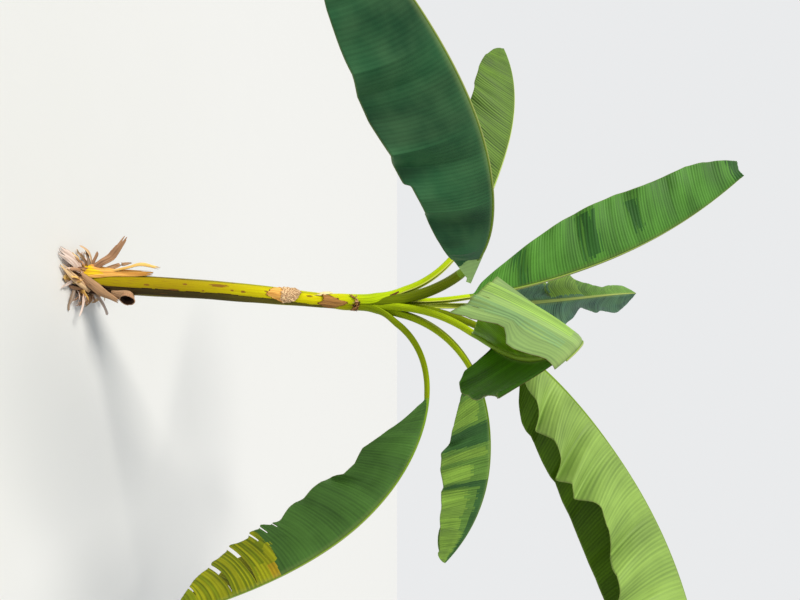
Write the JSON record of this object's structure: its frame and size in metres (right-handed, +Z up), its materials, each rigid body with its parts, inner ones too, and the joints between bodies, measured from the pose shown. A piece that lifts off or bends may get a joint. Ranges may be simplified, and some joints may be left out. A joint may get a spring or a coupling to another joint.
{
  "type": "banana plant",
  "caption": "Young banana plant with a leaning yellow-green pseudostem, arching channelled petioles, long folded blades and dry sheaths at its foot.",
  "frame": {"origin": "centre of the flat cut under the pseudostem, at ground level", "axes": "+Z up, +X the side that the pseudostem leans to, -Y the front from which the picture was taken"},
  "size_m": [3.0023, 2.2927, 3.2514],
  "materials": {
    "stem": "satin, fibrous",
    "petiole": "smooth, satin",
    "blade": "ribbed leaf, soft sheen",
    "dry": "dry and papery"
  },
  "bodies": {
    "root": {"pseudostem": "stem", "petiole_right_low": "petiole", "petiole_left_back": "petiole", "petiole_left_front": "petiole", "petiole_right_back": "petiole", "petiole_front": "petiole", "petiole_up_right": "petiole", "petiole_up_left": "petiole", "petiole_up_back": "petiole", "blade_right_low": "blade", "blade_left_back": "blade", "blade_left_front": "blade", "blade_right_back": "blade", "blade_front": "blade", "blade_up_right": "blade", "blade_up_left": "blade", "blade_up_back": "blade", "dead_petiole_stub": "dry", "sheath_peeled": "dry", "sheath_curled": "dry", "sheath_flap_left": "dry", "sheath_flap_front": "dry", "sheath_straw_front": "dry", "sheath_wrap": "dry", "sheath_flap_back": "dry", "sheath_straw_back": "dry", "sheath_upright_back": "dry", "scar_collar": "dry", "scar_upper": "dry", "scar_knot": "dry"}
  },
  "joints": []
}
